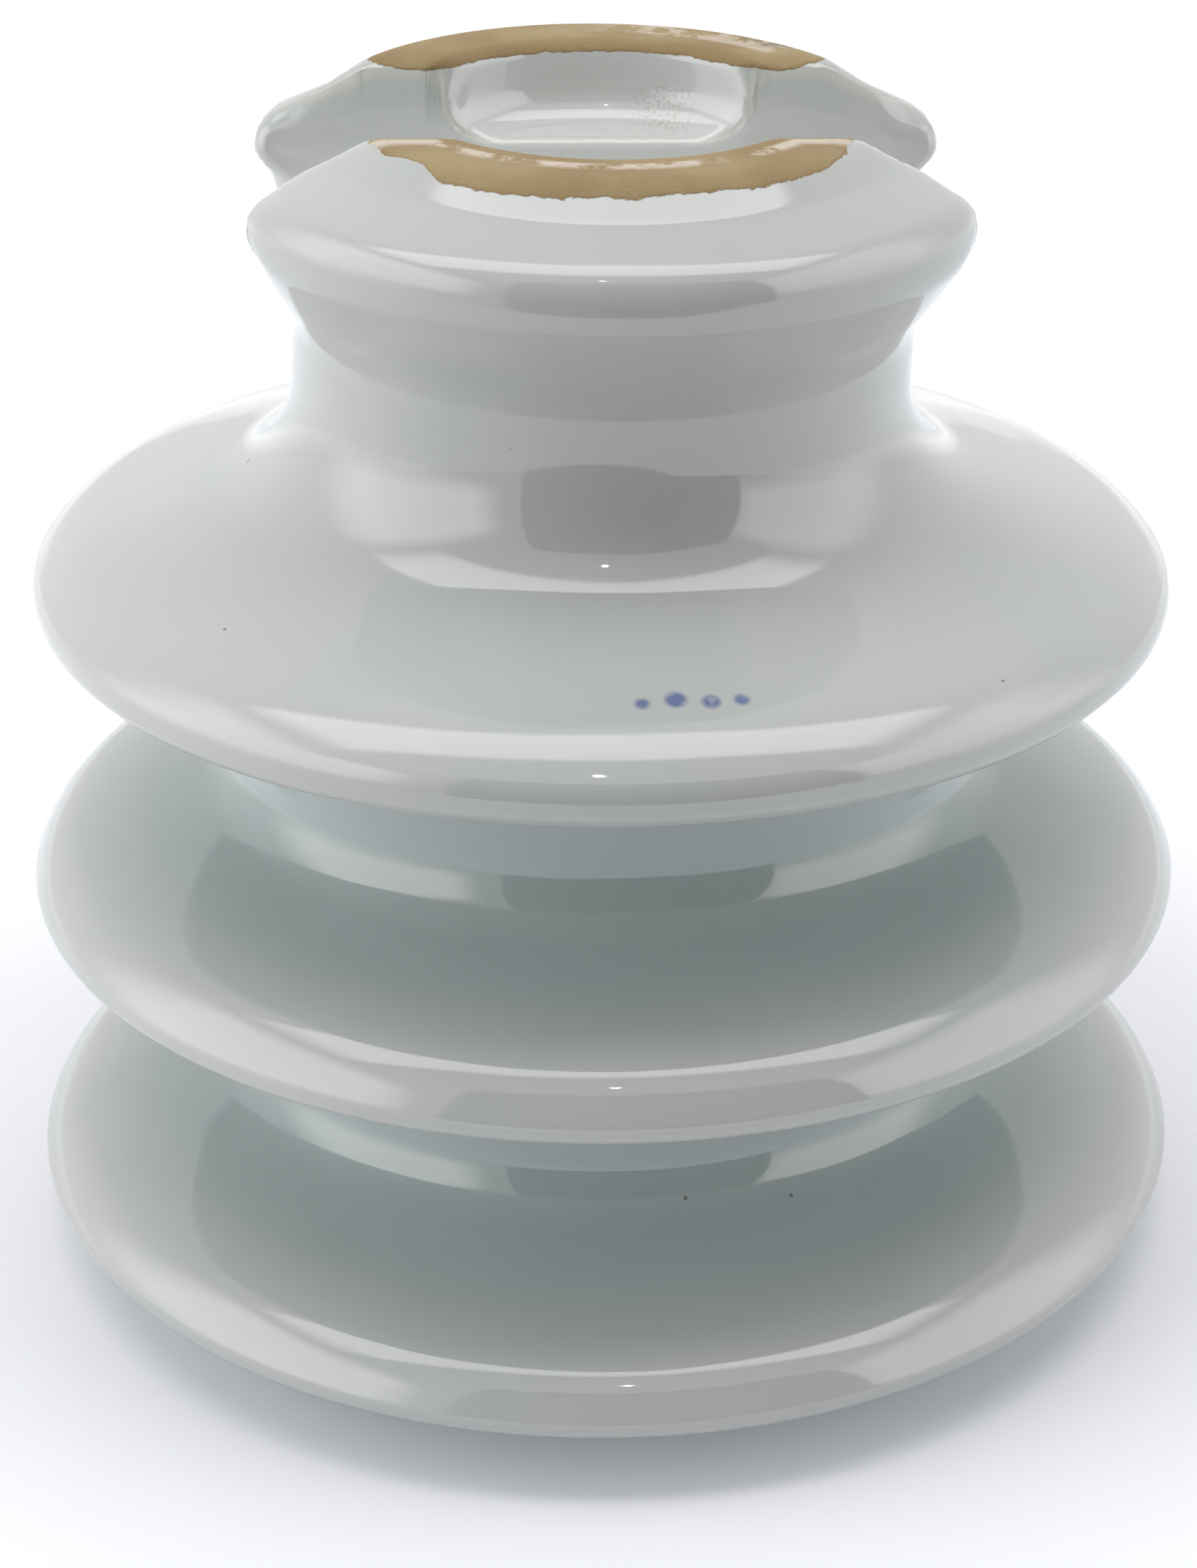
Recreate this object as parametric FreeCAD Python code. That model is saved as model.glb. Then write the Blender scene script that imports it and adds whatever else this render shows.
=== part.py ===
"""Line pin insulator: one thrown, turned and glazed porcelain body with three sheds.

The body carries an overhead conductor. It stands on a steel pin that screws into the
threaded hole underneath. The conductor lies in the channel across the head, or is tied
at the side in the groove round the neck. Millimetres, Z up. The origin is at the centre
of the foot, and the conductor channel runs along X.
"""
import FreeCAD, Part
import math
import os

# Sheds, lowest first. Each measures a little less than the one below it.
SHED_DIAMETERS = (185.7, 181.2, 175.0)
SHED_PITCH = 48.05
RIM_HEIGHT = 8.0
RIM_UPPER_ROUNDING = 0.75 * RIM_HEIGHT
RIM_LOWER_ROUNDING = 0.375 * RIM_HEIGHT
SHED_TOP_SLOPE = 18.3
SHED_UNDERSIDE_SLOPE = 7.0
SHED_TOP_ROOT_FILLET = 13.0
SHED_UNDERSIDE_ROOT_FILLET = 10.0
CORE_DIAMETER = 80.0

# Foot ring, the only part that touches what the body stands on.
FOOT_DIAMETER = 66.0
FOOT_DROP = 10.5
FOOT_ROUNDING = 3.0
FOOT_ROOT_FILLET = 8.0

# Hole for the pin.
PIN_HOLE_DIAMETER = 38.0
PIN_HOLE_DEPTH = 96.0
PIN_HOLE_END_ROUNDING = 12.0
PIN_HOLE_MOUTH_ROUNDING = 2.0

# Neck, which is the groove for the tie wire and for a conductor tied at the side.
NECK_DIAMETER = 93.6
NECK_TOP = 152.5
NECK_LOWER_FILLET = 18.0
NECK_UPPER_FILLET = 12.0

# Head flange above the neck. Each height is measured from the one before it.
FLANGE_DIAMETER = 113.5
FLANGE_UNDERSIDE = NECK_TOP + 14.3
FLANGE_EDGE_HEIGHT = 7.2
FLANGE_TOP = FLANGE_UNDERSIDE + FLANGE_EDGE_HEIGHT
FLANGE_LOWER_ROUNDING = 0.83 * FLANGE_EDGE_HEIGHT
FLANGE_UPPER_ROUNDING = 0.97 * FLANGE_EDGE_HEIGHT

# Bare ring on top, on which the body stood in the kiln.
RING_BASE_DIAMETER = 92.0
RING_BASE = FLANGE_TOP + 5.0
RING_BASE_FILLET = 5.0
RING_TOP_DIAMETER = 80.8
HEAD_TOP = RING_BASE + 4.2

# Round pocket in the head.
POCKET_DIAMETER = 58.0
POCKET_DEPTH = 12.0
POCKET_FLOOR_FILLET = 6.0

# Channel for the conductor, across the head.
CHANNEL_WIDTH = 35.0
CHANNEL_BOTTOM = NECK_TOP + 3.0

# Rounding of every edge of the channel, the pocket's mouth and the bare ring.
HEAD_EDGE_ROUNDING = 3.0

TOLERANCE = 0.01


def rounded_outline(corners):
    """Join (r, z, rounding) corners with straight runs and tangent arcs, in the YZ plane."""
    points = [FreeCAD.Vector(0, r, z) for r, z, _ in corners]
    arcs = []
    for index, point in enumerate(points):
        rounding = corners[index][2]
        before = (points[index - 1] - point).normalize()
        after = (points[(index + 1) % len(points)] - point).normalize()
        half_angle = before.getAngle(after) / 2
        reach = rounding / math.tan(half_angle)
        towards_centre = (before + after).normalize()
        middle = point + towards_centre * (rounding / math.sin(half_angle) - rounding)
        arcs.append((point + before * reach, middle, point + after * reach, rounding))
    edges = []
    for index, (start, middle, end, rounding) in enumerate(arcs):
        edges.append(Part.LineSegment(arcs[index - 1][2], start).toShape())
        if rounding > 0:
            edges.append(Part.Arc(start, middle, end).toShape())
    return Part.Wire(edges)


def shed_corners(level, diameter, root_radius, top_fillet):
    """Give one shed's corners: underside root, lower rim, upper rim, top root."""
    rim_radius = diameter / 2
    rim_bottom = FOOT_DROP + level * SHED_PITCH
    rim_top = rim_bottom + RIM_HEIGHT
    underside_rise = (rim_radius - CORE_DIAMETER / 2) * math.tan(math.radians(SHED_UNDERSIDE_SLOPE))
    top_rise = (rim_radius - root_radius) * math.tan(math.radians(SHED_TOP_SLOPE))
    return [
        (CORE_DIAMETER / 2, rim_bottom + underside_rise, SHED_UNDERSIDE_ROOT_FILLET),
        (rim_radius, rim_bottom, RIM_LOWER_ROUNDING),
        (rim_radius, rim_top, RIM_UPPER_ROUNDING),
        (root_radius, rim_top + top_rise, top_fillet),
    ]


def body_outline():
    """Give the closed half outline of the body, from the pin hole round to the pocket."""
    corners = [
        (0, PIN_HOLE_DEPTH, 0),
        (PIN_HOLE_DIAMETER / 2, PIN_HOLE_DEPTH, PIN_HOLE_END_ROUNDING),
        (PIN_HOLE_DIAMETER / 2, 0, PIN_HOLE_MOUTH_ROUNDING),
        (FOOT_DIAMETER / 2, 0, FOOT_ROUNDING),
    ]
    for level, diameter in enumerate(SHED_DIAMETERS):
        top_shed = level == len(SHED_DIAMETERS) - 1
        root_radius = NECK_DIAMETER / 2 if top_shed else CORE_DIAMETER / 2
        top_fillet = NECK_LOWER_FILLET if top_shed else SHED_TOP_ROOT_FILLET
        shed = shed_corners(level, diameter, root_radius, top_fillet)
        if level == 0:
            shed[0] = (FOOT_DIAMETER / 2, shed[0][1], FOOT_ROOT_FILLET)
        corners += shed
    corners += [
        (NECK_DIAMETER / 2, NECK_TOP, NECK_UPPER_FILLET),
        (FLANGE_DIAMETER / 2, FLANGE_UNDERSIDE, FLANGE_LOWER_ROUNDING),
        (FLANGE_DIAMETER / 2, FLANGE_TOP, FLANGE_UPPER_ROUNDING),
        (RING_BASE_DIAMETER / 2, RING_BASE, RING_BASE_FILLET),
        (RING_TOP_DIAMETER / 2, HEAD_TOP, 0),
        (POCKET_DIAMETER / 2, HEAD_TOP, 0),
        (POCKET_DIAMETER / 2, HEAD_TOP - POCKET_DEPTH, POCKET_FLOOR_FILLET),
        (0, HEAD_TOP - POCKET_DEPTH, 0),
    ]
    return rounded_outline(corners)


def channel_cutter():
    """Give the conductor channel: round at the bottom, straight walls, open at both ends."""
    half_width = CHANNEL_WIDTH / 2
    length = SHED_DIAMETERS[-1]
    centre_height = CHANNEL_BOTTOM + half_width
    above = HEAD_TOP + half_width
    front_top = FreeCAD.Vector(-length / 2, -half_width, above)
    front = FreeCAD.Vector(-length / 2, -half_width, centre_height)
    bottom = FreeCAD.Vector(-length / 2, 0, CHANNEL_BOTTOM)
    rear = FreeCAD.Vector(-length / 2, half_width, centre_height)
    rear_top = FreeCAD.Vector(-length / 2, half_width, above)
    outline = Part.Wire([
        Part.LineSegment(front_top, front).toShape(),
        Part.Arc(front, bottom, rear).toShape(),
        Part.LineSegment(rear, rear_top).toShape(),
        Part.LineSegment(rear_top, front_top).toShape(),
    ])
    return Part.Face(outline).extrude(FreeCAD.Vector(length, 0, 0))


def on_channel(point):
    """Tell whether a point lies on the wall or the floor of the channel."""
    half_width = CHANNEL_WIDTH / 2
    height_over_centre = point.z - CHANNEL_BOTTOM - half_width
    aside = abs(point.y)
    if height_over_centre < 0:
        aside = math.hypot(point.y, height_over_centre)
    return abs(aside - half_width) < TOLERANCE


def is_head_edge(edge):
    """Tell whether an edge bounds the channel or the bare ring, so that glaze rounds it off."""
    first, last = edge.ParameterRange
    samples = [edge.valueAt(first + (last - first) * share) for share in (0.1, 0.5, 0.9)]
    if all(abs(point.z - HEAD_TOP) < TOLERANCE for point in samples):
        return True
    wall_foot = CHANNEL_BOTTOM + CHANNEL_WIDTH / 2
    along_wall_foot = all(abs(point.z - wall_foot) < TOLERANCE for point in samples)
    return all(on_channel(point) for point in samples) and not along_wall_foot


def porcelain_body():
    """Turn the body, cut the channel through its head and round the edges of the head."""
    outline = Part.Face(body_outline())
    body = outline.revolve(FreeCAD.Vector(0, 0, 0), FreeCAD.Vector(0, 0, 1), 360)
    body = body.cut(channel_cutter())
    return body.makeFillet(HEAD_EDGE_ROUNDING, [edge for edge in body.Edges if is_head_edge(edge)])


os.makedirs("parts", exist_ok=True)
body = porcelain_body()
print("solids", len(body.Solids), "valid", body.isValid(), "volume", round(body.Volume))
body.exportStep("parts/porcelain_body.step")
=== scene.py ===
import math

import bpy
from mathutils import Matrix, Vector


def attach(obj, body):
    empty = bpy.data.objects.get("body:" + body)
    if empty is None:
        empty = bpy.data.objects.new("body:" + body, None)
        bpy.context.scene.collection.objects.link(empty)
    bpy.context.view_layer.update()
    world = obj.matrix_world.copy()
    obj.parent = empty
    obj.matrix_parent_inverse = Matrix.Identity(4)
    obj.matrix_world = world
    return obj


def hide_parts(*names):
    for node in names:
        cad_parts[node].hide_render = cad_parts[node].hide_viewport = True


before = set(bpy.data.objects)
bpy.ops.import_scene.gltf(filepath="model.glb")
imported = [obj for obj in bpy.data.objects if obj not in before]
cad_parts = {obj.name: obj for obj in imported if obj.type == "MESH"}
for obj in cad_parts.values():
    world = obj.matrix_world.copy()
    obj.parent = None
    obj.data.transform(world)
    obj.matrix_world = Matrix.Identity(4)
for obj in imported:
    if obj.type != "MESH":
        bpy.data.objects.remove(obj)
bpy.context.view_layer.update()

# Porcelain body. One piece of clay, turned on a wheel, so every level of it is round. Only the
# conductor channel was cut across the head afterwards, and the pin hole was threaded. The
# glaze rounds off each edge. All of these sizes are in millimetres.
MM = 0.001
SHED_TOP_SLOPE = math.radians(18.3)
SHED_UNDERSIDE_SLOPE = math.radians(7.0)
SHED_ROOT_FILLET = 10.0
CORE_RADIUS = 57.5
FOOT_ROOT_RADIUS = 40.0
FOOT_ROOT_FILLET = 8.0
FOOT_RADIUS = 33.0
FOOT_ROUNDING = 3.0

# Rims of the sheds, lowest first: the widest radius, the heights at which the underside and the
# top would meet it, the slope of the face between the two, and the rim's two roundings.
RIMS = (
    (92.85, 10.4, 18.1, 63.5, 12.2, 2.5),
    (90.8, 58.35, 67.2, 66.0, 12.2, 3.0),
    (87.4, 104.95, 115.3, 50.0, 16.0, 4.6),
)
PIN_HOLE_RADIUS = 19.0
PIN_HOLE_DEPTH = 96.0
PIN_HOLE_END_ROUNDING = 12.0
PIN_HOLE_MOUTH_ROUNDING = 2.0
NECK_RADIUS = 46.8
NECK_TOP = 152.5
NECK_LOWER_FILLET = 18.0
NECK_UPPER_FILLET = 12.0
FLANGE_RADIUS = 56.75
FLANGE_UNDERSIDE = 166.8
FLANGE_TOP = 174.0
FLANGE_LOWER_ROUNDING = 6.0
FLANGE_UPPER_ROUNDING = 5.6
RING_BASE_RADIUS = 46.0
RING_BASE = 179.0
RING_BASE_FILLET = 5.0
RING_TOP_RADIUS = 40.4
RING_TOP_ROUNDING = 6.0
HEAD_TOP = 183.2
POCKET_RADIUS = 29.0
POCKET_FLOOR = 171.2
POCKET_MOUTH_ROUNDING = 2.5
POCKET_FLOOR_FILLET = 6.0
CHANNEL_WIDTH = 35.0
CHANNEL_BOTTOM = 155.5

# How far apart the outline's points are on plain runs, round the head and along the thread.
PLAIN_STEP = 5.0
HEAD_STEP = 0.9
THREAD_STEP = 0.8
ARC_STEP = math.radians(9)


def shed_corners(level):
    """Give one shed's corners as (radius, height, rounding, step of the run that follows)."""
    rim, low, high, face_slope, upper_rounding, lower_rounding = RIMS[level]
    face = math.radians(face_slope)
    lowest = level == 0
    highest = level == len(RIMS) - 1
    underside_root = FOOT_RADIUS if lowest else CORE_RADIUS
    underside_from = FOOT_ROOT_RADIUS if lowest else CORE_RADIUS
    underside_fillet = FOOT_ROOT_FILLET if lowest else SHED_ROOT_FILLET
    top_root = NECK_RADIUS if highest else CORE_RADIUS
    top_fillet = NECK_LOWER_FILLET if highest else SHED_ROOT_FILLET
    underside_rise = (rim - underside_from) * math.tan(SHED_UNDERSIDE_SLOPE)
    top_rise = (rim - top_root) * math.tan(SHED_TOP_SLOPE)

    # The face touches the nose, which is the rim's lower rounding, at the face's own slope.
    nose_rise = lower_rounding * math.tan(math.pi / 4 + SHED_UNDERSIDE_SLOPE / 2)
    touch_radius = rim - lower_rounding + lower_rounding * math.sin(face)
    touch_height = low + nose_rise + lower_rounding * math.cos(face)
    corner_places = []
    for height, slope in ((low, SHED_UNDERSIDE_SLOPE), (high, SHED_TOP_SLOPE)):
        above = touch_height - height - (rim - touch_radius) * math.tan(slope)
        way = above / (math.sin(face) - math.cos(face) * math.tan(slope))
        corner_places.append((touch_radius + way * math.cos(face), touch_height - way * math.sin(face)))
    lip, shoulder = corner_places
    return [
        (underside_root, low + underside_rise, underside_fillet, PLAIN_STEP),
        (*lip, lower_rounding, PLAIN_STEP),
        (*shoulder, upper_rounding, PLAIN_STEP),
        (top_root, high + top_rise, top_fillet, PLAIN_STEP),
    ]


def rounded_outline(corners):
    """Turn the corners into a row of points: an arc at each corner, even steps between."""
    points = []
    for index, (r, z, rounding, step) in enumerate(corners):
        corner = Vector((r, z))
        arc = [corner]
        if rounding > 0:
            before = (Vector(corners[index - 1][:2]) - corner).normalized()
            after = (Vector(corners[index + 1][:2]) - corner).normalized()
            half_angle = before.angle(after) / 2
            centre = corner + (before + after).normalized() * rounding / math.sin(half_angle)
            reach = rounding / math.tan(half_angle)
            spoke = corner + before * reach - centre
            last_spoke = corner + after * reach - centre
            count = math.ceil((math.pi - 2 * half_angle) / ARC_STEP)
            arc = [centre + spoke.slerp(last_spoke, part / count) * rounding for part in range(count + 1)]
        if points:
            start = points[-1]
            count = math.ceil((arc[0] - start).length / step_before)
            points += [start.lerp(arc[0], part / count) for part in range(1, count)]
        points += arc
        step_before = step
    return points


corners = [
    (0.0, PIN_HOLE_DEPTH, 0.0, PLAIN_STEP),
    (PIN_HOLE_RADIUS, PIN_HOLE_DEPTH, PIN_HOLE_END_ROUNDING, THREAD_STEP),
    (PIN_HOLE_RADIUS, 0.0, PIN_HOLE_MOUTH_ROUNDING, PLAIN_STEP),
    (FOOT_RADIUS, 0.0, FOOT_ROUNDING, PLAIN_STEP),
]
for level in range(len(RIMS)):
    corners += shed_corners(level)
corners += [
    (NECK_RADIUS, NECK_TOP, NECK_UPPER_FILLET, HEAD_STEP),
    (FLANGE_RADIUS, FLANGE_UNDERSIDE, FLANGE_LOWER_ROUNDING, HEAD_STEP),
    (FLANGE_RADIUS, FLANGE_TOP, FLANGE_UPPER_ROUNDING, HEAD_STEP),
    (RING_BASE_RADIUS, RING_BASE, RING_BASE_FILLET, HEAD_STEP),
    (RING_TOP_RADIUS, HEAD_TOP, RING_TOP_ROUNDING, HEAD_STEP),
    (POCKET_RADIUS, HEAD_TOP, POCKET_MOUTH_ROUNDING, HEAD_STEP),
    (POCKET_RADIUS, POCKET_FLOOR, POCKET_FLOOR_FILLET, HEAD_STEP),
    (0.0, POCKET_FLOOR, 0.0, HEAD_STEP),
]
outline = rounded_outline(corners)
outline_mesh = bpy.data.meshes.new("porcelain_body")
outline_mesh.from_pydata(
    [(point.x * MM, 0, point.y * MM) for point in outline],
    [(index, index + 1) for index in range(len(outline) - 1)],
    [],
)
body = bpy.data.objects.new("glazed_body", outline_mesh)
bpy.context.scene.collection.objects.link(body)

# The kinds of node that the trees below use most, and the setting of a soft ramp.
MATH = "ShaderNodeMath"
VECTOR_MATH = "ShaderNodeVectorMath"
SPLIT = "ShaderNodeSeparateXYZ"
JOIN = "ShaderNodeCombineXYZ"
RAMP = "ShaderNodeMapRange"
SOFT = {"interpolation_type": "SMOOTHSTEP"}


def add_node(tree, kind, inputs=(), output=0, **settings):
    """Add a node, set its settings, and link or set its inputs, by name or in their order.

    Gives the output asked for, and all of its outputs for None.
    """
    node = tree.nodes.new(kind)
    for name, value in settings.items():
        setattr(node, name, value)
    for name, value in inputs.items() if isinstance(inputs, dict) else enumerate(inputs):
        socket = node.inputs[name]
        if isinstance(value, bpy.types.NodeSocket):
            tree.links.new(value, socket)
        else:
            socket.default_value = value
    return node.outputs if output is None else node.outputs[output]


turning = bpy.data.node_groups.new("Turned, threaded, cut and glazed", "GeometryNodeTree")
turning.interface.new_socket("Outline", in_out="INPUT", socket_type="NodeSocketGeometry")
turning.interface.new_socket("Body", in_out="OUTPUT", socket_type="NodeSocketGeometry")
body_sizes = {
    "Segments": ("NodeSocketInt", 192),
    "Thread Pitch": ("NodeSocketFloat", 6.35 * MM),
    "Thread Depth": ("NodeSocketFloat", 1.4 * MM),
    "Channel Half Width": ("NodeSocketFloat", CHANNEL_WIDTH / 2 * MM),
    "Channel Centre Height": ("NodeSocketFloat", (CHANNEL_BOTTOM + CHANNEL_WIDTH / 2) * MM),
    "Edge Rounding": ("NodeSocketFloat", 1.5 * MM),
    "Ring Edge Rounding": ("NodeSocketFloat", 4.5 * MM),
    "Channel Foot Rounding": ("NodeSocketFloat", 8.8 * MM),
    "Channel End Rounding": ("NodeSocketFloat", 3.0 * MM),
    "Channel End Stretch": ("NodeSocketFloat", 3.2),
    "Head Lean": ("NodeSocketFloat", 0.028),
    "Head Side Lean": ("NodeSocketFloat", 0.010),
    "Head Shift": ("NodeSocketFloat", 0.8 * MM),
    "Shed Tilt": ("NodeSocketFloat", 0.0123),
    "Material": ("NodeSocketMaterial", None),
}
size_sockets = {}
for name, (kind, value) in body_sizes.items():
    size_sockets[name] = turning.interface.new_socket(name, in_out="INPUT", socket_type=kind)
sizes = add_node(turning, "NodeGroupInput", output=None)
half_width = sizes["Channel Half Width"]
centre_height = sizes["Channel Centre Height"]

# The outline is carried round in a grid: one column of points for each segment.
MERGE_DISTANCE = 0.005
row_count = add_node(turning, "GeometryNodeAttributeDomainSize", {
    "Geometry": sizes["Outline"]}, "Point Count")
column_count = add_node(turning, MATH, (sizes["Segments"], 1), operation="ADD")
grid = add_node(turning, "GeometryNodeMeshGrid", {"Vertices X": column_count, "Vertices Y": row_count})
point_index = add_node(turning, "GeometryNodeInputIndex")
row = add_node(turning, MATH, (point_index, row_count), operation="MODULO")
index_and_half = add_node(turning, MATH, (point_index, 0.5), operation="ADD")
rows_passed = add_node(turning, MATH, (index_and_half, row_count), operation="DIVIDE")
column = add_node(turning, MATH, (rows_passed,), operation="FLOOR")
turns = add_node(turning, MATH, (column, sizes["Segments"]), operation="DIVIDE")
angle = add_node(turning, MATH, (turns, math.tau), operation="MULTIPLY")
point_place = add_node(turning, "GeometryNodeInputPosition")
sampled = add_node(turning, "GeometryNodeSampleIndex", {
    "Geometry": sizes["Outline"], "Value": point_place, "Index": row}, data_type="FLOAT_VECTOR")
on_outline = add_node(turning, SPLIT, (sampled,), None)

# The thread is right-handed. It begins above the bore's mouth and runs out below its end.
THREAD_BEGINS = (4 * MM, 12 * MM)
THREAD_RUNS_OUT = (72 * MM, 80 * MM)
BORE_MARGIN = 0.05
pitches_up = add_node(turning, MATH, (on_outline["Z"], sizes["Thread Pitch"]), operation="DIVIDE")
climb = add_node(turning, MATH, (pitches_up, turns), operation="SUBTRACT")
winding = add_node(turning, MATH, (climb, math.tau), operation="MULTIPLY")
crest = add_node(turning, MATH, (winding,), operation="COSINE")
cut_share = add_node(turning, MATH, (crest, -0.5, 0.5), operation="MULTIPLY_ADD")
in_bore = add_node(turning, MATH, (
    on_outline["X"], PIN_HOLE_RADIUS * MM, BORE_MARGIN * MM), operation="COMPARE")
run_out = add_node(turning, RAMP, (on_outline["Z"], *THREAD_RUNS_OUT, 1.0, 0.0), **SOFT)
groove_depth = add_node(turning, RAMP, (on_outline["Z"], *THREAD_BEGINS), **SOFT)
for factor in (run_out, in_bore, cut_share, sizes["Thread Depth"]):
    groove_depth = add_node(turning, MATH, (groove_depth, factor), operation="MULTIPLY")
radius = add_node(turning, MATH, (on_outline["X"], groove_depth), operation="ADD")
cosine = add_node(turning, MATH, (angle,), operation="COSINE")
sine = add_node(turning, MATH, (angle,), operation="SINE")
turned_place = add_node(turning, JOIN, {
    "X": add_node(turning, MATH, (radius, cosine), operation="MULTIPLY"),
    "Y": add_node(turning, MATH, (radius, sine), operation="MULTIPLY"),
    "Z": on_outline["Z"]})
turned = add_node(turning, "GeometryNodeSetPosition", {"Geometry": grid, "Position": turned_place})
closed = add_node(turning, "GeometryNodeMergeByDistance", {
    "Geometry": turned, "Distance": MERGE_DISTANCE * MM})

# The channel's cutter: a bar that is round below and runs out over the head. Its corners are a
# hair smaller than half its width, so that they don't meet.
CUTTER_LENGTH = 140.0
CUTTER_HEIGHT = 60.0
CUTTER_STEPS = 128
CORNER_STEPS = 24
CORNER_SHARE = 0.9999
bar_outline = add_node(turning, "GeometryNodeCurvePrimitiveQuadrilateral", {
    "Width": add_node(turning, MATH, (half_width, 2), operation="MULTIPLY"), "Height": CUTTER_HEIGHT * MM})
bar_rounded = add_node(turning, "GeometryNodeFilletCurve", {
    "Curve": bar_outline, "Count": CORNER_STEPS,
    "Radius": add_node(turning, MATH, (half_width, CORNER_SHARE), operation="MULTIPLY")}, mode="POLY")
over_centre = add_node(turning, MATH, (centre_height, CUTTER_HEIGHT / 2 * MM), operation="ADD")
bar_centre = add_node(turning, MATH, (over_centre, half_width), operation="SUBTRACT")
bar_line = add_node(turning, "GeometryNodeCurvePrimitiveLine", {
    "Start": add_node(turning, JOIN, {"X": -CUTTER_LENGTH / 2 * MM, "Z": bar_centre}),
    "End": add_node(turning, JOIN, {"X": CUTTER_LENGTH / 2 * MM, "Z": bar_centre})})
bar_steps = add_node(turning, "GeometryNodeResampleCurve", {
    "Curve": bar_line, "Count": CUTTER_STEPS}, mode="COUNT")
bar = add_node(turning, "GeometryNodeCurveToMesh", {
    "Curve": bar_steps, "Profile Curve": bar_rounded, "Fill Caps": True})
cut = add_node(turning, "GeometryNodeMeshBoolean", {
    "Mesh 1": closed, "Mesh 2": bar}, operation="DIFFERENCE", solver="EXACT")

# The glaze draws the channel's sharp edges round. Each point near an edge moves in until it
# lies on a rounding between the turned surface and the channel's own surface.
ROUNDING_PASSES = 6
HEAD_FROM = 140
repeat_in = turning.nodes.new("GeometryNodeRepeatInput")
repeat_out = turning.nodes.new("GeometryNodeRepeatOutput")
repeat_in.pair_with_output(repeat_out)
repeat_in.inputs["Iterations"].default_value = ROUNDING_PASSES
sharp = add_node(turning, "GeometryNodeStoreNamedAttribute", {
    "Geometry": cut, "Name": "sharp_place", "Value": point_place}, data_type="FLOAT_VECTOR", domain="POINT")
turning.links.new(sharp, repeat_in.inputs["Geometry"])
at = add_node(turning, SPLIT, (point_place,), None)
over_axis = add_node(turning, MATH, (at["Z"], centre_height), operation="SUBTRACT")
drop = add_node(turning, MATH, (over_axis, 0.0), operation="MINIMUM")
from_centre = add_node(turning, JOIN, {"Y": at["Y"], "Z": drop})
aside = add_node(turning, VECTOR_MATH, (from_centre,), "Value", operation="LENGTH")
outwards = add_node(turning, VECTOR_MATH, (from_centre,), operation="NORMALIZE")
to_channel = add_node(turning, MATH, (aside, half_width), operation="SUBTRACT")
to_outside = add_node(turning, "GeometryNodeProximity", {
    "Target": closed, "Source Position": point_place}, "Distance", target_element="FACES")
skin_normal = add_node(turning, "GeometryNodeSampleNearestSurface", {
    "Mesh": closed, "Value": add_node(turning, "GeometryNodeInputNormal"),
    "Sample Position": point_place}, data_type="FLOAT_VECTOR")

# The rounding is wider on the bare ring than below it, and widest at the foot of the channel's
# ends. Higher up at the ends it is stretched along the outside, so it is an ellipse there.
RING_EDGE = (176 * MM, 182 * MM)
END_FOOT = (163 * MM, 170 * MM)
ENDS_BEGIN = (38 * MM, 50 * MM)
STRETCH_BEGINS = (42 * MM, 50 * MM)
off_centre = add_node(turning, MATH, (at["X"],), operation="ABSOLUTE")
middle_rounding = add_node(turning, RAMP, (
    at["Z"], *RING_EDGE, sizes["Edge Rounding"], sizes["Ring Edge Rounding"]), **SOFT)
end_rounding = add_node(turning, RAMP, (
    at["Z"], *END_FOOT, sizes["Channel Foot Rounding"], sizes["Channel End Rounding"]), **SOFT)
rounding = add_node(turning, RAMP, (off_centre, *ENDS_BEGIN, middle_rounding, end_rounding), **SOFT)
end_stretch = add_node(turning, RAMP, (at["Z"], *END_FOOT, 1.0, sizes["Channel End Stretch"]), **SOFT)
stretch = add_node(turning, RAMP, (off_centre, *STRETCH_BEGINS, 1.0, end_stretch), **SOFT)
channel_distance = add_node(turning, MATH, (to_channel, stretch), operation="DIVIDE")
skin_left = add_node(turning, MATH, (rounding, to_outside), operation="SUBTRACT")
skin_part = add_node(turning, MATH, (skin_left, 0.0), operation="MAXIMUM")
channel_left = add_node(turning, MATH, (rounding, channel_distance), operation="SUBTRACT")
channel_part = add_node(turning, MATH, (channel_left, 0.0), operation="MAXIMUM")
inward_stretch = add_node(turning, MATH, (stretch, -1.0), operation="MULTIPLY")
channel_way = add_node(turning, MATH, (channel_part, inward_stretch), operation="MULTIPLY")
skin_pull = add_node(turning, VECTOR_MATH, {0: skin_normal, "Scale": skin_part}, operation="SCALE")
channel_pull = add_node(turning, VECTOR_MATH, {0: outwards, "Scale": channel_way}, operation="SCALE")
pull = add_node(turning, VECTOR_MATH, (skin_pull, channel_pull), operation="ADD")
skin_square = add_node(turning, MATH, (skin_part, skin_part), operation="MULTIPLY")
channel_square = add_node(turning, MATH, (channel_part, channel_part), operation="MULTIPLY")
square_sum = add_node(turning, MATH, (skin_square, channel_square), operation="ADD")
reach = add_node(turning, MATH, (square_sum,), operation="SQRT")
past_rounding = add_node(turning, MATH, (reach, rounding), operation="SUBTRACT")
excess = add_node(turning, MATH, (past_rounding, 0.0), operation="MAXIMUM")
safe_reach = add_node(turning, MATH, (reach, 0.001 * MM), operation="MAXIMUM")
step_share = add_node(turning, MATH, (excess, safe_reach), operation="DIVIDE")
step_back = add_node(turning, MATH, (step_share, -1.0), operation="MULTIPLY")
step_in = add_node(turning, VECTOR_MATH, {0: pull, "Scale": step_back}, operation="SCALE")
on_head = add_node(turning, MATH, (at["Z"], HEAD_FROM * MM), operation="GREATER_THAN")
rounded = add_node(turning, "GeometryNodeSetPosition", {
    "Geometry": repeat_in.outputs["Geometry"], "Selection": on_head, "Offset": step_in})
turning.links.new(rounded, repeat_out.inputs["Geometry"])

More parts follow.
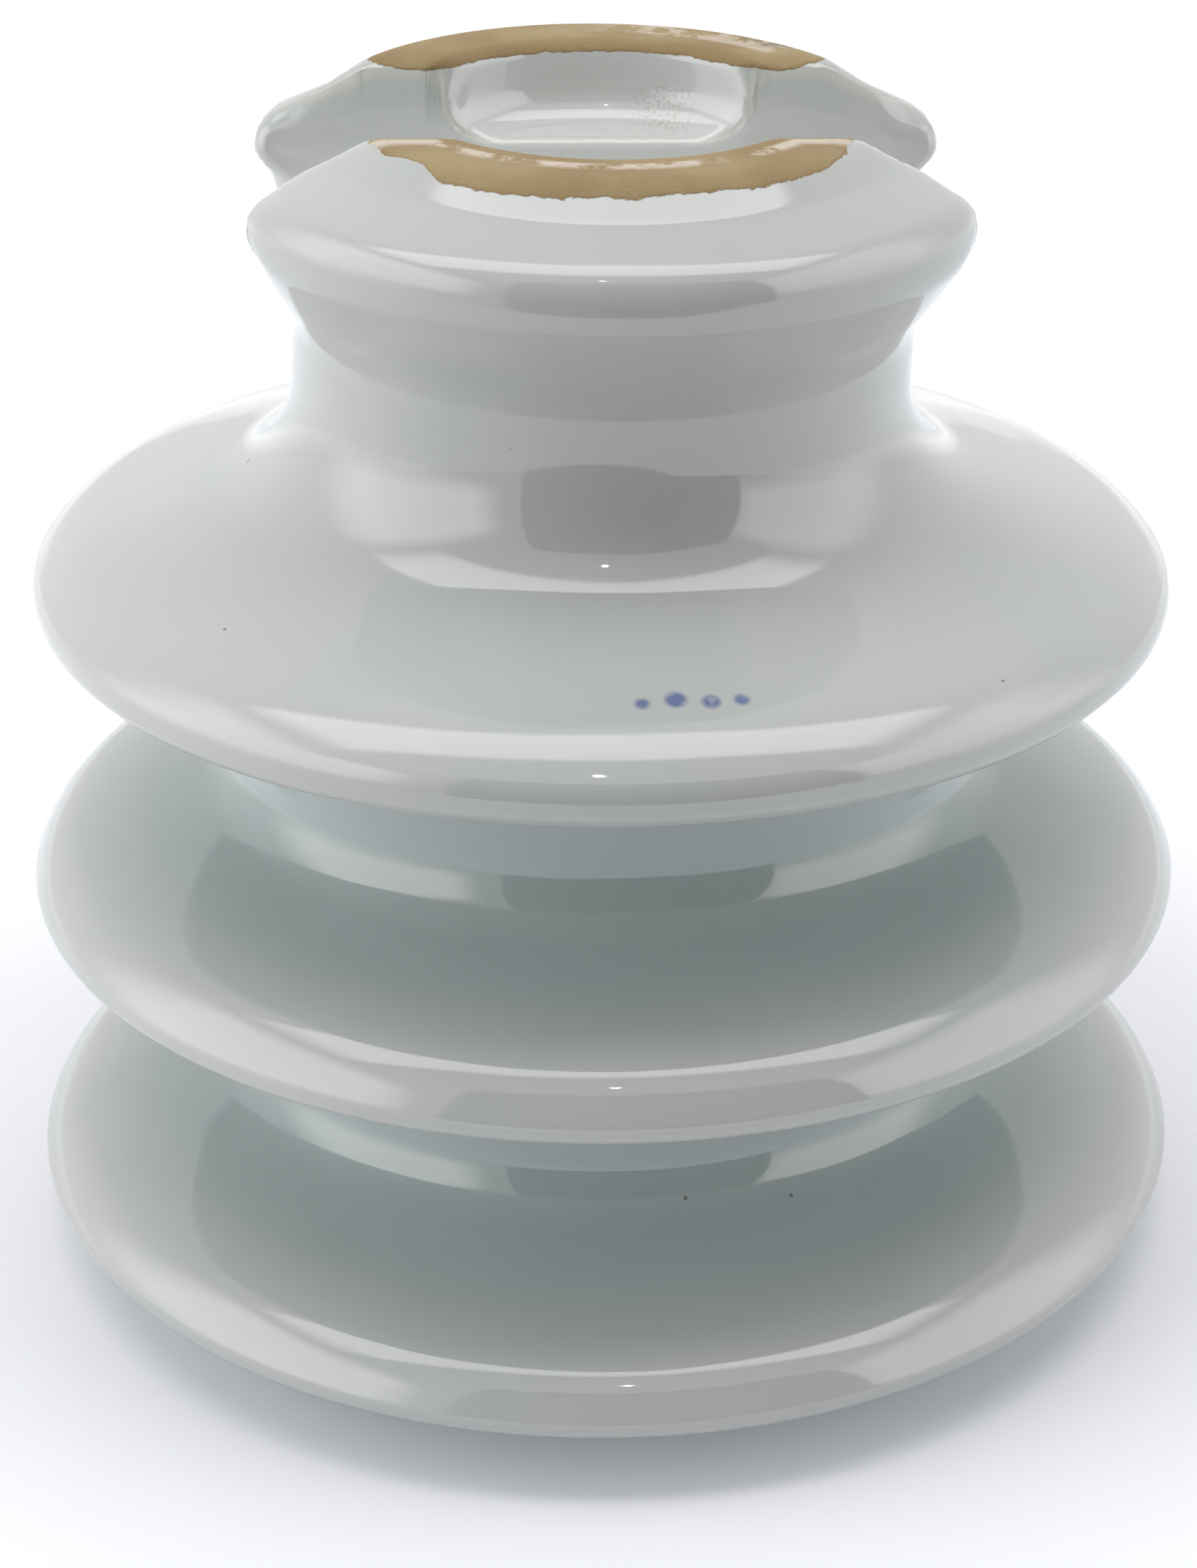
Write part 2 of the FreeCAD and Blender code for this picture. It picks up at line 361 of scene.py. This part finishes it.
# The place of each point before the body leaned is kept for the glaze's patterns.
straightened = add_node(turning, "GeometryNodeStoreNamedAttribute", {
    "Geometry": repeat_out.outputs["Geometry"], "Name": "straight_place", "Value": point_place},
    data_type="FLOAT_VECTOR", domain="POINT")

# How far the glaze drew each point in, as a share of the rounding, tells where it runs thin.
sharp_place = add_node(turning, "GeometryNodeInputNamedAttribute", {"Name": "sharp_place"}, "Attribute",
                       data_type="FLOAT_VECTOR")
drawn_in = add_node(turning, VECTOR_MATH, (point_place, sharp_place), "Value", operation="DISTANCE")
whole_rounding = add_node(turning, MATH, (rounding, stretch), operation="MULTIPLY")
drawn_share = add_node(turning, MATH, (drawn_in, whole_rounding), operation="DIVIDE")
thinned = add_node(turning, "GeometryNodeStoreNamedAttribute", {
    "Geometry": straightened, "Name": "thin_share", "Value": drawn_share}, data_type="FLOAT", domain="POINT")

# The body stood on its head in the kiln and leaned a little as it softened.
LEAN_PIVOT = (0, 0, 0.150)
TILT_FROM_TO = (30 * MM, 116 * MM)
LEAN_FROM_TO = (128 * MM, 158 * MM)
tilt_share = add_node(turning, RAMP, (at["Z"], *TILT_FROM_TO))
tilt_rate = add_node(turning, MATH, (tilt_share, sizes["Shed Tilt"]), operation="MULTIPLY")
tilt = add_node(turning, MATH, (tilt_rate, at["X"]), operation="MULTIPLY")
tilt_down = add_node(turning, JOIN, {"Z": add_node(turning, MATH, (tilt, -1.0), operation="MULTIPLY")})
tilted = add_node(turning, "GeometryNodeSetPosition", {"Geometry": thinned, "Offset": tilt_down})
lean_share = add_node(turning, RAMP, (at["Z"], *LEAN_FROM_TO), **SOFT)
leans = {}
for name in ("Head Lean", "Head Side Lean", "Head Shift"):
    leans[name] = add_node(turning, MATH, (lean_share, sizes[name]), operation="MULTIPLY")
lean_back = add_node(turning, "ShaderNodeVectorRotate", {
    "Vector": point_place, "Center": LEAN_PIVOT, "Angle": leans["Head Lean"]}, rotation_type="X_AXIS")
lean_side = add_node(turning, "ShaderNodeVectorRotate", {
    "Vector": lean_back, "Center": LEAN_PIVOT, "Angle": leans["Head Side Lean"]}, rotation_type="Y_AXIS")
leaned = add_node(turning, "GeometryNodeSetPosition", {
    "Geometry": tilted, "Position": lean_side, "Offset": add_node(turning, JOIN, {"X": leans["Head Shift"]})})
smooth = add_node(turning, "GeometryNodeSetShadeSmooth", {"Geometry": leaned})
whole = add_node(turning, "GeometryNodeRealizeInstances", {"Geometry": smooth})
finished = add_node(turning, "GeometryNodeSetMaterial", {"Geometry": whole, "Material": sizes["Material"]})
add_node(turning, "NodeGroupOutput", {"Body": finished}, None)


def linear(hex_colour):
    """Give a hex sRGB colour as linear red, green and blue with full alpha."""
    shares = [int(hex_colour[start:start + 2], 16) / 255 for start in (0, 2, 4)]
    return [s / 12.92 if s <= 0.04045 else ((s + 0.055) / 1.055) ** 2.4 for s in shares] + [1]


# Feldspar glaze: pale grey with a breath of blue-green, thick, smooth and very glossy. It was
# left off the ring that stood on the kiln shelf, where the fired clay shows bare, dull and buff.
GLAZE = "BCC0BD"
GLAZE_CLOUDS = "C1C3C0"
# Darker, greener glaze near the lower cores: partly pooled glaze, partly painted shade.
POOLED_GLAZE_AND_SHADE = "A6B3B3"
# Paler glaze in the channel and the pocket: painted light.
CHANNEL_PAINTED_LIGHT = "D6D8D5"
THIN_GLAZE = "DAD9CB"
IRON_SPECK = "55544C"
POCKET_DUST = "868A7C"
INK = "53649A"
CLAY = "8E774C"
CLAY_CLOUDS = "A28F66"
BROWN_RIM = "86683A"
WORN_CLAY = "D9CDBE"
CLAY_SMUDGE = "5A5650"
CLAY_GRAIN = "8A7450"
GLAZE_IOR = 1.6
GLAZE_ROUGHNESS = 0.055
CLAY_ROUGHER_BY = 0.66
porcelain = bpy.data.materials.new("pale feldspar glaze over buff porcelain")
porcelain.use_nodes = True
glazing = porcelain.node_tree
glazing.nodes.clear()
object_place = add_node(glazing, "ShaderNodeTexCoord", output="Object")
straight_place = add_node(glazing, "ShaderNodeAttribute", output="Vector", attribute_name="straight_place")
thin_share = add_node(glazing, "ShaderNodeAttribute", output="Fac", attribute_name="thin_share")
axes = add_node(glazing, SPLIT, (straight_place,), None)
flat_place = add_node(glazing, JOIN, {"X": axes["X"], "Y": axes["Y"]})
from_axis = add_node(glazing, VECTOR_MATH, (flat_place,), "Value", operation="LENGTH")
along_channel = add_node(glazing, MATH, (axes["X"],), operation="ABSOLUTE")
across_channel = add_node(glazing, MATH, (axes["Y"],), operation="ABSOLUTE")


def swing(scale, detail, roughness, times, plus):
    """Give noise on Object coordinates, in waves to the metre, times one number plus another."""
    noise = add_node(glazing, "ShaderNodeTexNoise", {
        "Vector": object_place, "Scale": scale, "Detail": detail, "Roughness": roughness}, "Fac")
    return add_node(glazing, MATH, (noise, times, plus), operation="MULTIPLY_ADD")


def patches(scale, detail, roughness, low, high, to_low=0.0, to_high=1.0):
    """Give soft patches where the same noise lies between two marks."""
    noise = swing(scale, detail, roughness, 1.0, 0.0)
    return add_node(glazing, RAMP, (noise, low, high, to_low, to_high), **SOFT)


def product(*shares):
    """Multiply shares one after another."""
    result = shares[0]
    for share in shares[1:]:
        result = add_node(glazing, MATH, (result, share), operation="MULTIPLY")
    return result


def spot(centre, size, softness):
    """Give 1 round a centre in millimetres on the unleaned body, and 0 beyond its size."""
    distance = add_node(glazing, VECTOR_MATH, (straight_place, [value * MM for value in centre]),
                        "Value", operation="DISTANCE")
    edge = ((size - softness) * MM, (size + softness) * MM)
    return add_node(glazing, RAMP, (distance, *edge, 1.0, 0.0), **SOFT)


def cover(under, share, strength, colour):
    """Lay a colour over what is under it, as far as the share and the strength go."""
    return add_node(glazing, "ShaderNodeMix", {
        "Factor": product(share, strength), 6: under, 7: linear(colour)}, 2, data_type="RGBA")


# The glaze line is ragged where the glaze was wiped off and then crept back. It wanders, and the
# glaze reaches higher at the ends of the ring and in a tongue at the front left. Its rim is brown.
GLAZE_ENDS = (181.45 * MM, 181.6 * MM)
BROWN_ENDS = (181.6 * MM, 182.0 * MM)
RING_ENDS = (27 * MM, 37 * MM)
ragged = swing(420, 6.0, 0.6, 1.3 * MM, -0.65 * MM)
wandering = swing(60, 1.0, 0.5, 1.6 * MM, -0.8 * MM)
tongue = product(spot((-31.0, -32.5, 180.5), 5.0, 1.6), -1.7 * MM)
at_ends = add_node(glazing, RAMP, (along_channel, *RING_ENDS, 0.0, -1.5 * MM), **SOFT)
wiped_height = axes["Z"]
for shift in (ragged, wandering, tongue, at_ends):
    wiped_height = add_node(glazing, MATH, (wiped_height, shift), operation="ADD")
bare = add_node(glazing, RAMP, (wiped_height, *GLAZE_ENDS), **SOFT)
below_brown_end = add_node(glazing, RAMP, (wiped_height, *BROWN_ENDS, 1.0, 0.0), **SOFT)
brown_rim = product(bare, below_brown_end)

# Bare clay: buff, with paler cloudy places about 14 mm apart, a worn pale streak along the inner
# edge of each half of the ring, a dark smudge at the rear right, and a grain of 0.4 mm.
over_pocket = add_node(glazing, MATH, (from_axis, POCKET_RADIUS * MM), operation="SUBTRACT")
over_wall = add_node(glazing, MATH, (across_channel, CHANNEL_WIDTH / 2 * MM), operation="SUBTRACT")
inward = add_node(glazing, MATH, (over_pocket, over_wall), operation="MINIMUM")
at_front = add_node(glazing, RAMP, (axes["Y"], -1 * MM, 1 * MM, 1.0, 0.0), **SOFT)
at_rear = add_node(glazing, MATH, (1.0, at_front), operation="SUBTRACT")
front_from = add_node(glazing, RAMP, (inward, 3.6 * MM, 4.6 * MM), **SOFT)
front_to = add_node(glazing, RAMP, (inward, 5.4 * MM, 7.4 * MM, 1.0, 0.0), **SOFT)
rear_from = add_node(glazing, RAMP, (inward, 4.6 * MM, 6.0 * MM), **SOFT)
rear_right = add_node(glazing, RAMP, (axes["X"], -4 * MM, 12 * MM), **SOFT)
worn_front = product(front_from, front_to, at_front, patches(150, 6.0, 0.7, 0.40, 0.52))
worn_rear = product(rear_from, rear_right, at_rear, patches(130, 6.0, 0.7, 0.46, 0.56), 0.75)
worn = add_node(glazing, MATH, (worn_front, worn_rear), operation="MAXIMUM")
smudge = product(spot((27.5, 29.5, 183), 4.0, 2.2), patches(500, 4.0, 0.5, 0.4, 0.6))
clay = cover(linear(CLAY), patches(70, 3.0, 0.5, 0.35, 0.7), 1.0, CLAY_CLOUDS)
clay = cover(clay, brown_rim, 0.6, BROWN_RIM)
clay = cover(clay, worn, 0.85, WORN_CLAY)
clay = cover(clay, smudge, 0.75, CLAY_SMUDGE)
clay = cover(clay, patches(2600, 2.0, 0.5, 0.30, 0.72), 0.22, CLAY_GRAIN)

# Glaze: in wide faint clouds, and deeper and greener near the core of the lower two sheds, which
# is partly pooled glaze and partly painted shade under the shed above. It is paler in the channel
# and the pocket, which is painted light, and palest where it runs thin over an edge. A few iron
# specks lie in it, under 1 mm wide, and fine dust lies in the pocket.
near_core = add_node(glazing, RAMP, (from_axis, 70 * MM, 88 * MM, 1.0, 0.0), **SOFT)
under_top_shed = add_node(glazing, RAMP, (axes["Z"], 104 * MM, 108 * MM, 1.0, 0.0), **SOFT)
in_channel = add_node(glazing, RAMP, (across_channel, 17.2 * MM, 18.6 * MM, 1.0, 0.0), **SOFT)
in_pocket = add_node(glazing, RAMP, (from_axis, 28.6 * MM, 29.6 * MM, 1.0, 0.0), **SOFT)
in_either = add_node(glazing, MATH, (in_channel, in_pocket), operation="MAXIMUM")
above_neck = add_node(glazing, RAMP, (axes["Z"], 150 * MM, 153 * MM), **SOFT)
thin_edge = add_node(glazing, RAMP, (thin_share, 0.31, 0.41), **SOFT)
cells = add_node(glazing, "ShaderNodeTexVoronoi", {"Vector": object_place, "Scale": 75.0}, None, feature="F1")
speck_choice = add_node(glazing, "ShaderNodeSeparateColor", (cells["Color"],), None)
speck_size = add_node(glazing, RAMP, (speck_choice["Green"], 0.0, 1.0, 0.012, 0.035))
in_speck = add_node(glazing, MATH, (cells["Distance"], speck_size), operation="LESS_THAN")
speck_chosen = add_node(glazing, MATH, (speck_choice["Red"], 0.62), operation="GREATER_THAN")
dust = product(spot((10.5, 24.5, 173.5), 4.6, 3.2), patches(1900, 2.0, 0.7, 0.52, 0.60))
tone = cover(linear(GLAZE), patches(22, 2.0, 0.5, 0.35, 0.65), 1.0, GLAZE_CLOUDS)
# Painted shade with a greener tint of pooled glaze: darker near the core under the top shed.
tone = cover(tone, product(near_core, under_top_shed), 0.75, POOLED_GLAZE_AND_SHADE)
# Painted light: the glaze is made paler in the channel and the pocket above the neck.
tone = cover(tone, product(in_either, above_neck), 0.6, CHANNEL_PAINTED_LIGHT)
tone = cover(tone, thin_edge, 0.4, THIN_GLAZE)
tone = cover(tone, product(in_speck, speck_chosen), 0.75, IRON_SPECK)
tone = cover(tone, dust, 0.4, POCKET_DUST)

# Ink: a few plain soft blue dabs on the top shed.
DAB_HEIGHT = 119.7
DAB_SOFTNESS = 0.55
for x, y, size in ((1.2, -74.8, 1.0), (5.8, -74.0, 1.5), (10.6, -74.4, 1.3), (14.8, -73.8, 1.1)):
    uneven = patches(900, 3.0, 0.5, 0.30, 0.55, 0.45, 0.85)
    tone = cover(tone, spot((x, y, DAB_HEIGHT), size, DAB_SOFTNESS), uneven, INK)

# The glaze's surface swells in waves of 3 cm, and the clay has pores, both in bump alone.
SWELL = 0.45
PORE_DEPTH = 0.22
colour = add_node(glazing, "ShaderNodeMix", {"Factor": bare, 6: tone, 7: clay}, 2, data_type="RGBA")
dullness = add_node(glazing, MATH, (bare, CLAY_ROUGHER_BY, GLAZE_ROUGHNESS), operation="MULTIPLY_ADD")
swell = swing(34, 1.0, 0.5, SWELL * MM, 0.0)
pores = product(swing(1500, 3.0, 0.5, 1.0, 0.0), bare, PORE_DEPTH * MM)
relief = add_node(glazing, "ShaderNodeBump", {
    "Strength": 1.0, "Distance": 1.0, "Height": add_node(glazing, MATH, (swell, pores), operation="ADD")})
surface = add_node(glazing, "ShaderNodeBsdfPrincipled", {
    "Base Color": colour, "Roughness": dullness, "IOR": GLAZE_IOR, "Normal": relief})
add_node(glazing, "ShaderNodeOutputMaterial", {"Surface": surface}, None)

modifier = body.modifiers.new("turning", "NODES")
modifier.node_group = turning
for name, (kind, value) in body_sizes.items():
    modifier[size_sockets[name].identifier] = porcelain if name == "Material" else value
evaluated = body.evaluated_get(bpy.context.evaluated_depsgraph_get())
body_mesh = bpy.data.meshes.new_from_object(evaluated)
body.modifiers.clear()
body.data = body_mesh
print("body triangles", sum(len(face.vertices) - 2 for face in body_mesh.polygons))
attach(body, "root")
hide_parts("porcelain_body")

# Stage: a white table that ends below the camera, and a dark card behind the camera, which the
# glaze shows as a dark window. To the eye alone the table also glows a little, brighter farther
# away, and turns from a faint blue to white. These distances are in metres.
TABLE_FRONT = -0.46
NEAR_GLOW = (0.11, 0.32)
NEAR_GLOW_GROWTH = 3.8
FAR_AWAY = (0.3, 1.1)
FAINT_BLUE = "EAF3FF"
PURE_WHITE = "FFFFFF"


def seen_by_eye(tree):
    """Give 1 for rays from the camera, also by way of a reflection or through glass."""
    path = add_node(tree, "ShaderNodeLightPath", output=None)
    reflected = add_node(tree, MATH, (
        path["Is Glossy Ray"], path["Is Transmission Ray"]), operation="MAXIMUM")
    return add_node(tree, MATH, (path["Is Camera Ray"], reflected), operation="MAXIMUM")


def stage_sheet(name, corner, far_corner, colour, lift, far_lift):
    """Set up a flat sheet of paper that isn't part of the object, from corner to corner."""
    low, high = Vector(corner), Vector(far_corner)
    flat = low.z == high.z
    second = Vector((high.x, low.y, low.z))
    last = Vector((low.x, high.y, low.z)) if flat else Vector((low.x, low.y, high.z))
    mesh = bpy.data.meshes.new(name)
    mesh.from_pydata([low, second, high, last], [], [(0, 1, 2, 3)])
    sheet = bpy.data.objects.new(name, mesh)
    bpy.context.scene.collection.objects.link(sheet)
    paper = bpy.data.materials.new(name)
    paper.use_nodes = True
    tree = paper.node_tree
    tree.nodes.clear()
    face = add_node(tree, "ShaderNodeBsdfDiffuse", {"Color": linear(colour)})
    dark = add_node(tree, "ShaderNodeEmission", {"Strength": 0.0})
    on_sheet = add_node(tree, "ShaderNodeTexCoord", output="Object")
    away = add_node(tree, VECTOR_MATH, (on_sheet,), "Value", operation="LENGTH")
    far = add_node(tree, RAMP, (away, *FAR_AWAY), **SOFT)
    near_light = add_node(tree, RAMP, (away, *NEAR_GLOW, lift, lift * NEAR_GLOW_GROWTH), **SOFT)
    far_light = add_node(tree, MATH, (far, far_lift), operation="MULTIPLY")
    strength = add_node(tree, MATH, (near_light, far_light), operation="MAXIMUM")
    tint = add_node(tree, "ShaderNodeMix", {
        "Factor": far, 6: linear(FAINT_BLUE), 7: linear(PURE_WHITE)}, 2, data_type="RGBA")
    light = add_node(tree, "ShaderNodeEmission", {"Color": tint, "Strength": strength})
    lifted = add_node(tree, "ShaderNodeMixShader", (seen_by_eye(tree), dark, light))
    both = add_node(tree, "ShaderNodeAddShader", (face, lifted))
    add_node(tree, "ShaderNodeOutputMaterial", {"Surface": both}, None)
    mesh.materials.append(paper)
    return sheet


stage_sheet("white table", (-6, TABLE_FRONT, 0), (6, 6, 0), "F6F6FA", 0.12, 1.0)
card = stage_sheet("dark card", (-0.60, -1.0, -0.30), (1.0, -1.0, 1.35), "2A2B2B", 0.0, 0.0)
card.visible_camera = False

# Studio: an open room, white to the eye, which lights the body only from behind. Two softboxes
# stand at its sides, one hangs over it, and one small lamp gives sharp glints.
WHITE = (1, 1, 1, 1)
BEHIND_STRENGTH = 1.05
studio = bpy.data.worlds.new("studio")
bpy.context.scene.world = studio
bpy.context.scene.view_settings.view_transform = "Standard"
studio.use_nodes = True
room = studio.node_tree
room.nodes.clear()
all_round = add_node(room, "ShaderNodeTexCoord", output="Generated")
direction = add_node(room, SPLIT, (all_round,), None)
behind = add_node(room, RAMP, (direction["Y"], 0.05, 0.85, 0.0, BEHIND_STRENGTH), **SOFT)
light_behind = add_node(room, "ShaderNodeBackground", {"Color": WHITE, "Strength": behind})
white = add_node(room, "ShaderNodeBackground", {"Color": WHITE, "Strength": 1.0})
mixed = add_node(room, "ShaderNodeMixShader", (seen_by_eye(room), light_behind, white))
add_node(room, "ShaderNodeOutputWorld", {"Surface": mixed}, None)


def softbox(name, place, aim, width, height, power, soft_share):
    """Hang one rectangular lamp at a place in metres, facing the aim, and fade it to its edges."""
    lamp = bpy.data.lights.new(name, "AREA")
    lamp.shape = "RECTANGLE"
    lamp.size = width
    lamp.size_y = height
    lamp.energy = power
    lamp.use_nodes = True
    tree = lamp.node_tree
    tree.nodes.clear()
    on_lamp = add_node(tree, "ShaderNodeNewGeometry", output="Parametric")
    shares = add_node(tree, SPLIT, (on_lamp,), None)
    glow = 1.0
    for way in ("X", "Y"):
        to_other_edge = add_node(tree, MATH, (1.0, shares[way]), operation="SUBTRACT")
        to_edge = add_node(tree, MATH, (shares[way], to_other_edge), operation="MINIMUM")
        fade = add_node(tree, RAMP, (to_edge, 0.0, soft_share), **SOFT)
        glow = add_node(tree, MATH, (fade, glow), operation="MULTIPLY")
    shine = add_node(tree, "ShaderNodeEmission", {"Strength": glow})
    add_node(tree, "ShaderNodeOutputLight", {"Surface": shine}, None)
    holder = bpy.data.objects.new(name, lamp)
    holder.location = place
    holder.rotation_euler = (Vector(aim) - Vector(place)).to_track_quat("-Z", "Y").to_euler()
    bpy.context.scene.collection.objects.link(holder)


softbox("left softbox", (-1.05, -0.45, 0.62), (0, -0.45, 0.62), 2.0, 1.5, 23.0, 0.28)
softbox("right softbox", (1.05, -0.40, 0.62), (0, -0.40, 0.62), 1.8, 1.5, 14.5, 0.28)
softbox("overhead softbox", (0, -0.04, 1.15), (0, -0.04, 0), 1.9, 0.62, 11.0, 0.16)
softbox("small lamp", (0, -0.60, 1.15), (0, 0, 0.12), 0.03, 0.03, 0.15, 0.1)

# Camera of the photograph. Its place was found from the rims of the three sheds. The body stood
# turned by about 3 degrees, so the camera goes round it by as much.
PHOTO_HEIGHT = 2200
FOCAL_PIXELS = 4771.8
SENSOR_HEIGHT = 36
PITCH = 0.4562
ROLL = 0.0088
TURN = math.radians(-3.1)
CAMERA_PLACE = (-0.000725, -0.490, 0.3114)
camera_data = bpy.data.cameras.new("photograph")
camera = bpy.data.objects.new("photograph", camera_data)
bpy.context.scene.collection.objects.link(camera)
bpy.context.scene.camera = camera
camera_data.sensor_fit = "VERTICAL"
camera_data.sensor_height = SENSOR_HEIGHT
camera_data.lens = SENSOR_HEIGHT * FOCAL_PIXELS / PHOTO_HEIGHT
level_right = Vector((1, 0, 0))
level_up = Vector((0, math.sin(PITCH), math.cos(PITCH)))
forward = Vector((0, math.cos(PITCH), -math.sin(PITCH)))
right = level_right * math.cos(ROLL) - level_up * math.sin(ROLL)
up = level_right * math.sin(ROLL) + level_up * math.cos(ROLL)
camera_axes = Matrix((right, up, -forward)).transposed().to_4x4()
camera.matrix_world = Matrix.Rotation(TURN, 4, "Z") @ Matrix.Translation(CAMERA_PLACE) @ camera_axes
